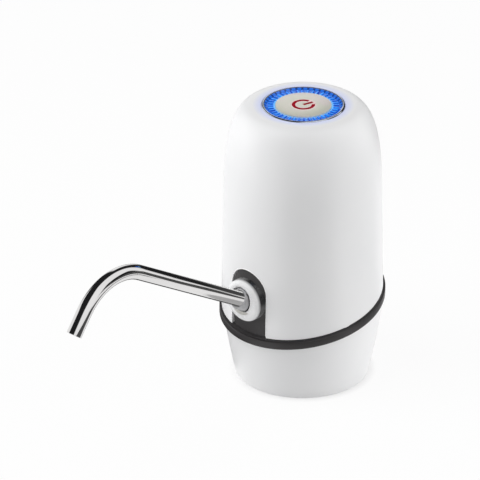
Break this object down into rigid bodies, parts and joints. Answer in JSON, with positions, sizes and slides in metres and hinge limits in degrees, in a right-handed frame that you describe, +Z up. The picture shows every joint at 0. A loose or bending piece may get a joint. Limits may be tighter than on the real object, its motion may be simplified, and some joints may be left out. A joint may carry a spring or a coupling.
{
  "type": "water dispenser",
  "caption": "Rechargeable electric pump that stands on a large bottle's neck and lifts water through a bent metal spout, with a round lit push button on top.",
  "frame": {"origin": "middle of the bounding box on the ground, under the spout's side of the body", "axes": "+Z up, -Y the way the spout points, +X to the right of someone who looks along +Y at the spout's side"},
  "size_m": [0.0776, 0.1906, 0.137],
  "materials": {
    "upper_housing": "satin-gloss white",
    "trim_band": "satin black",
    "lower_housing": "satin-gloss white",
    "neck_seal": "soft grey",
    "front_plate": "satin dark grey",
    "spout_collar": "glossy white",
    "spout_socket": "moulded grey",
    "screw_steel": "zinc plated",
    "spout_sleeve": "grey",
    "spout_seal": "black",
    "spout_tube": "polished stainless steel",
    "inlet_fitting": "white",
    "inlet_nut": "white",
    "inlet_hose": "milky silicone",
    "outlet_hose": "milky silicone",
    "chassis": "moulded grey",
    "battery_cell": "blue wrap",
    "cell_clamp": "moulded grey",
    "pump_cover": "moulded grey",
    "valve_plate": "moulded grey",
    "valve_sheet": "black",
    "diaphragm": "black",
    "pump_body": "moulded grey",
    "wobble_plate": "white acetal",
    "wobble_pin": "ground",
    "eccentric_hub": "white acetal",
    "motor_armature": "copper windings on a laminated core",
    "motor_shaft": "ground",
    "motor_can": "plated",
    "motor_magnet": "dark ferrite",
    "motor_end_cap": "black",
    "button_bezel": "dark reflective",
    "light_ring": "blue translucent light guide",
    "button_cap": "brushed, warm grey",
    "power_icon": "red translucent",
    "button_spring": "spring wire",
    "control_board": "green board",
    "light_strip": "pale chips on a ring strip",
    "switch_body": "black",
    "switch_plunger": "white",
    "lead_header": "white",
    "charge_shell": "bright plated",
    "charge_tongue": "black",
    "charge_board": "green board",
    "battery_lead": "red jacket",
    "motor_lead": "black jacket",
    "charge_lead": "white jacket"
  },
  "bodies": {
    "base": {"upper_housing": "upper_housing", "trim_band": "trim_band", "lower_housing": "lower_housing", "neck_seal": "neck_seal", "front_plate": "front_plate", "spout_collar": "spout_collar", "spout_socket": "spout_socket", "socket_screw_left": "screw_steel", "socket_screw_right": "screw_steel", "inlet_fitting": "inlet_fitting", "inlet_nut": "inlet_nut", "inlet_hose": "inlet_hose", "outlet_hose": "outlet_hose", "chassis": "chassis", "case_screw_1": "screw_steel", "case_screw_2": "screw_steel", "case_screw_3": "screw_steel", "housing_screw_1": "screw_steel", "housing_screw_2": "screw_steel", "housing_screw_3": "screw_steel", "housing_screw_4": "screw_steel", "battery_cell": "battery_cell", "cell_clamp": "cell_clamp", "pump_cover": "pump_cover", "valve_plate": "valve_plate", "valve_sheet": "valve_sheet", "diaphragm": "diaphragm", "pump_body": "pump_body", "pump_screw_right": "screw_steel", "pump_screw_left": "screw_steel", "motor_can": "motor_can", "motor_magnet": "motor_magnet", "motor_end_cap": "motor_end_cap", "button_bezel": "button_bezel", "light_ring": "light_ring", "button_spring": "button_spring", "control_board": "control_board", "board_screw_right": "screw_steel", "board_screw_left": "screw_steel", "light_strip": "light_strip", "switch_body": "switch_body", "lead_header": "lead_header", "charge_shell": "charge_shell", "charge_tongue": "charge_tongue", "charge_board": "charge_board", "battery_lead": "battery_lead", "motor_lead": "motor_lead", "charge_lead": "charge_lead"},
    "sleeve": {"spout_sleeve": "spout_sleeve", "spout_seal": "spout_seal"},
    "tube": {"spout_tube": "spout_tube"},
    "rotor": {"wobble_pin": "wobble_pin", "eccentric_hub": "eccentric_hub", "motor_armature": "motor_armature", "motor_shaft": "motor_shaft"},
    "wobble": {"wobble_plate": "wobble_plate"},
    "button": {"button_cap": "button_cap", "power_icon": "power_icon"},
    "plunger": {"switch_plunger": "switch_plunger"}
  },
  "joints": [
    {"name": "spout_swivel", "type": "hinge", "parent": "base", "child": "sleeve", "pos_m": [0, 0.01848, 0.0494], "axis": [0, -0.8652, 0.5015], "continuous": true},
    {"name": "spout_pull", "type": "slide", "parent": "sleeve", "child": "tube", "axis": [0, -0.8652, 0.5015], "range_m": [0, 0.015]},
    {"name": "motor_spin", "type": "hinge", "parent": "base", "child": "rotor", "pos_m": [0, 0.05448, 0.0708], "axis": [0, 0, 1], "continuous": true},
    {"name": "wobble_turn", "type": "hinge", "parent": "rotor", "child": "wobble", "pos_m": [0, 0.05448, 0.0633], "axis": [0, -0.1392, 0.9903], "continuous": true},
    {"name": "button_press", "type": "slide", "parent": "base", "child": "button", "axis": [0, 0, -1], "range_m": [0, 0.0005], "stiffness_N_per_m": 1500, "springref_m": -0.001, "deforming": ["button_spring"]},
    {"name": "plunger_press", "type": "slide", "parent": "base", "child": "plunger", "axis": [0, 0, -1], "range_m": [0, 0.0005]}
  ],
  "couplings": [
    {"joint": "wobble_turn", "follows": "motor_spin", "ratio": -1},
    {"joint": "plunger_press", "follows": "button_press", "ratio": 1}
  ]
}
